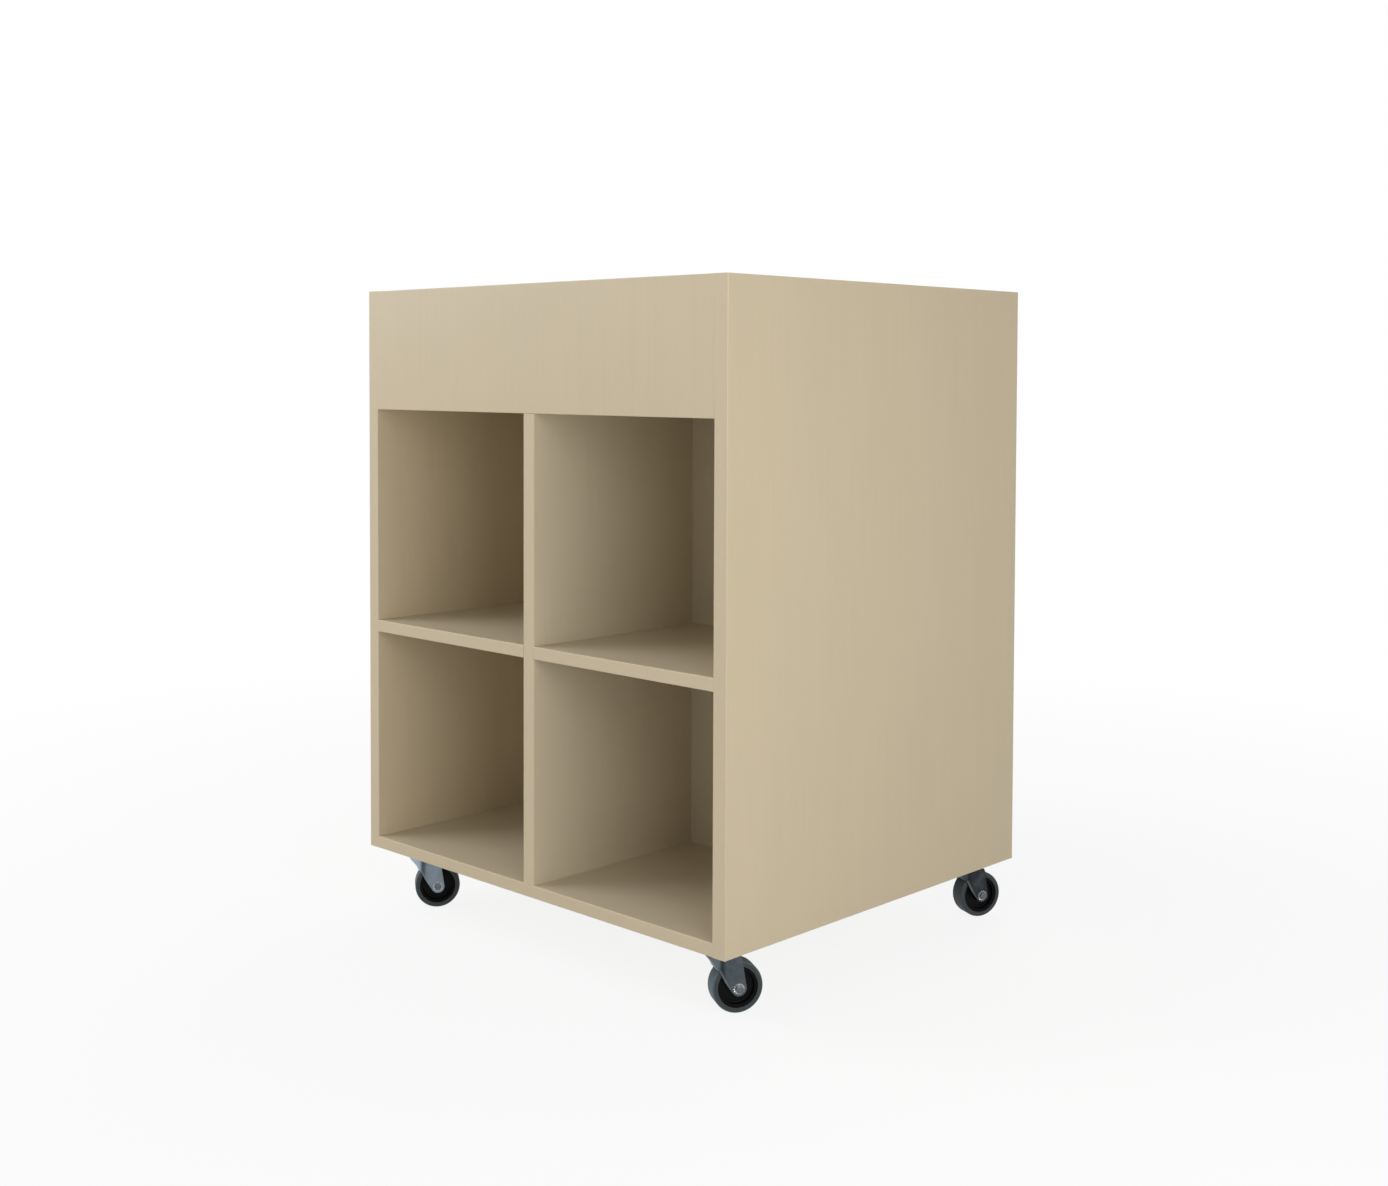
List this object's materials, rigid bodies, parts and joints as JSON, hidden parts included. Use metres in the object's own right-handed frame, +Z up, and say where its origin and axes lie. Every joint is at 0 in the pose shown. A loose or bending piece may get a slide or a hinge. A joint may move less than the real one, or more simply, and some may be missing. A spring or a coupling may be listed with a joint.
{
  "type": "picture book browser bin",
  "caption": "Two-sided laminate book trolley: open cells on both long sides, an open divided trough on top for browsing picture books, and swivel casters.",
  "frame": {"origin": "on the floor, under the middle of the carcass", "axes": "+X to the right along the long sides, -Y towards the front, +Z up from the floor"},
  "size_m": [0.75, 0.6535, 0.948],
  "materials": {
    "laminate": "plain warm beige laminate on board, satin",
    "edge_band": "beige plastic edge band, satin, with a rounded edge",
    "dowel": "raw beech",
    "zinc_plate": "pressed steel, zinc plated, satin",
    "fixing_steel": "zinc plated steel, semi-bright",
    "ball_steel": "hardened steel balls, polished and greased",
    "hub_plastic": "black moulded plastic",
    "tyre_rubber": "dark grey solid rubber, smooth tread"
  },
  "bodies": {
    "bin": {"side_panel_left": "laminate", "side_panel_right": "laminate", "bottom_board": "laminate", "trough_floor": "laminate", "shelf_front_left": "laminate", "shelf_front_right": "laminate", "shelf_rear_left": "laminate", "shelf_rear_right": "laminate", "divider_front": "laminate", "divider_rear": "laminate", "middle_panel": "laminate", "fascia_front": "laminate", "fascia_rear": "laminate", "trough_grid_long": "laminate", "trough_grid_cross": "laminate", "edge_bands_side_left": "edge_band", "edge_bands_side_right": "edge_band", "edge_bands_bottom_board": "edge_band", "edge_bands_dividers": "edge_band", "edge_bands_shelves": "edge_band", "edge_bands_fascias": "edge_band", "dowels": "dowel", "caster_screws": "fixing_steel", "caster_plate_front_left": "zinc_plate", "caster_kingpin_front_left": "fixing_steel", "caster_plate_front_right": "zinc_plate", "caster_kingpin_front_right": "fixing_steel", "caster_plate_rear_left": "zinc_plate", "caster_kingpin_rear_left": "fixing_steel", "caster_plate_rear_right": "zinc_plate", "caster_kingpin_rear_right": "fixing_steel"},
    "swivel_front_left": {"caster_balls_front_left": "ball_steel", "caster_fork_front_left": "zinc_plate", "caster_axle_bolt_front_left": "fixing_steel", "caster_axle_nut_front_left": "fixing_steel", "caster_sleeve_front_left": "fixing_steel"},
    "wheel_front_left": {"caster_hub_front_left": "hub_plastic", "caster_tyre_front_left": "tyre_rubber"},
    "swivel_front_right": {"caster_balls_front_right": "ball_steel", "caster_fork_front_right": "zinc_plate", "caster_axle_bolt_front_right": "fixing_steel", "caster_axle_nut_front_right": "fixing_steel", "caster_sleeve_front_right": "fixing_steel"},
    "wheel_front_right": {"caster_hub_front_right": "hub_plastic", "caster_tyre_front_right": "tyre_rubber"},
    "swivel_rear_left": {"caster_balls_rear_left": "ball_steel", "caster_fork_rear_left": "zinc_plate", "caster_axle_bolt_rear_left": "fixing_steel", "caster_axle_nut_rear_left": "fixing_steel", "caster_sleeve_rear_left": "fixing_steel"},
    "wheel_rear_left": {"caster_hub_rear_left": "hub_plastic", "caster_tyre_rear_left": "tyre_rubber"},
    "swivel_rear_right": {"caster_balls_rear_right": "ball_steel", "caster_fork_rear_right": "zinc_plate", "caster_axle_bolt_rear_right": "fixing_steel", "caster_axle_nut_rear_right": "fixing_steel", "caster_sleeve_rear_right": "fixing_steel"},
    "wheel_rear_right": {"caster_hub_rear_right": "hub_plastic", "caster_tyre_rear_right": "tyre_rubber"}
  },
  "joints": [
    {"name": "front_left_swivel", "type": "hinge", "parent": "bin", "child": "swivel_front_left", "pos_m": [-0.3135, -0.273, 0.085], "axis": [0, 0, 1], "continuous": true},
    {"name": "front_left_roll", "type": "hinge", "parent": "swivel_front_left", "child": "wheel_front_left", "pos_m": [-0.29765, -0.25053, 0.034], "axis": [-0.8171, 0.5764, 0], "continuous": true},
    {"name": "front_right_swivel", "type": "hinge", "parent": "bin", "child": "swivel_front_right", "pos_m": [0.3135, -0.273, 0.085], "axis": [0, 0, 1], "continuous": true},
    {"name": "front_right_roll", "type": "hinge", "parent": "swivel_front_right", "child": "wheel_front_right", "pos_m": [0.3275, -0.24933, 0.034], "axis": [-0.8607, 0.509, 0], "continuous": true},
    {"name": "rear_left_swivel", "type": "hinge", "parent": "bin", "child": "swivel_rear_left", "pos_m": [-0.3135, 0.273, 0.085], "axis": [0, 0, 1], "continuous": true},
    {"name": "rear_left_roll", "type": "hinge", "parent": "swivel_rear_left", "child": "wheel_rear_left", "pos_m": [-0.30017, 0.29705, 0.034], "axis": [-0.8746, 0.4848, 0], "continuous": true},
    {"name": "rear_right_swivel", "type": "hinge", "parent": "bin", "child": "swivel_rear_right", "pos_m": [0.3135, 0.273, 0.085], "axis": [0, 0, 1], "continuous": true},
    {"name": "rear_right_roll", "type": "hinge", "parent": "swivel_rear_right", "child": "wheel_rear_right", "pos_m": [0.32477, 0.29808, 0.034], "axis": [-0.9121, 0.4099, 0], "continuous": true}
  ]
}
